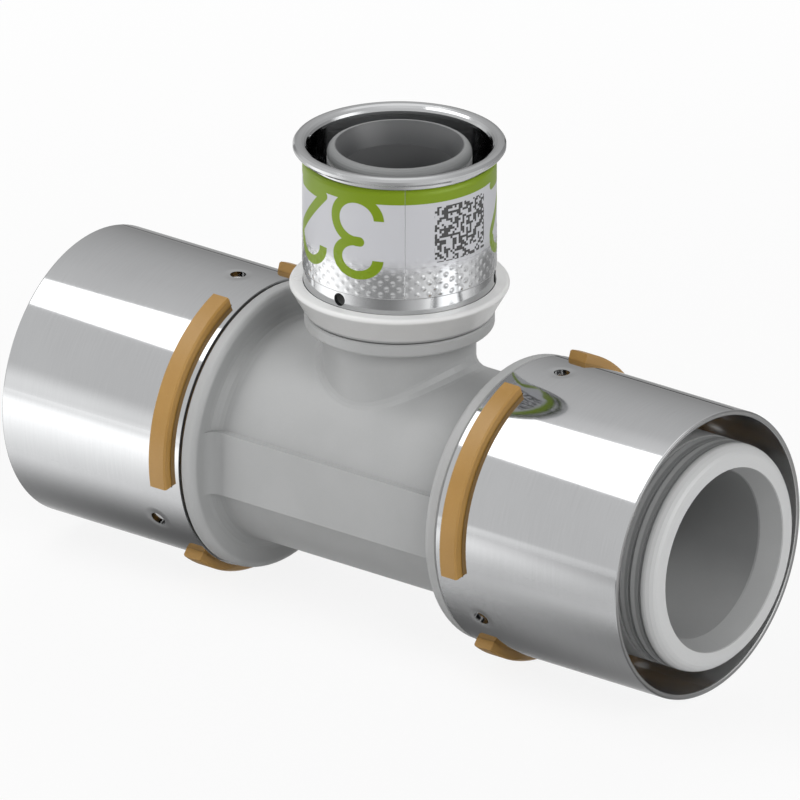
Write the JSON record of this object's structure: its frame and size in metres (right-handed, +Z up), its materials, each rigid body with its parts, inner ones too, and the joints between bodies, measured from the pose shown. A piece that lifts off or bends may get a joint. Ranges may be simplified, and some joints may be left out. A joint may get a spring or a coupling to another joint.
{
  "type": "reducing tee",
  "caption": "Press-fit reducing tee for multilayer pipe: plastic body with steel press sleeves, stop rings with lugs in sleeve windows, O-ring nozzles and a printed film on the smaller branch.",
  "frame": {"origin": "where the run axis and the branch axis cross, in the middle of the body", "axes": "+X along the run towards the right-hand socket, +Z up the branch, -Y is the front with the flat pad"},
  "size_m": [0.147, 0.0562, 0.0898],
  "materials": {
    "body_plastic": "satin moulded grey plastic",
    "sleeve_steel": "polished stainless steel",
    "ochre_plastic": "satin ochre plastic",
    "pale_plastic": "satin off-white plastic",
    "clear_film": "thin printed film over the sleeve",
    "black_rubber": "smooth black rubber"
  },
  "bodies": {
    "root": {"fitting_body": "body_plastic", "run_sleeve_left": "sleeve_steel", "run_sleeve_right": "sleeve_steel", "run_stop_ring_left": "ochre_plastic", "run_stop_ring_right": "ochre_plastic", "branch_sleeve": "sleeve_steel", "branch_stop_ring": "pale_plastic", "size_film": "clear_film", "run_oring_left_inner": "black_rubber", "run_oring_left_outer": "black_rubber", "run_oring_right_inner": "black_rubber", "run_oring_right_outer": "black_rubber", "branch_oring_lower": "black_rubber", "branch_oring_upper": "black_rubber"}
  },
  "joints": []
}
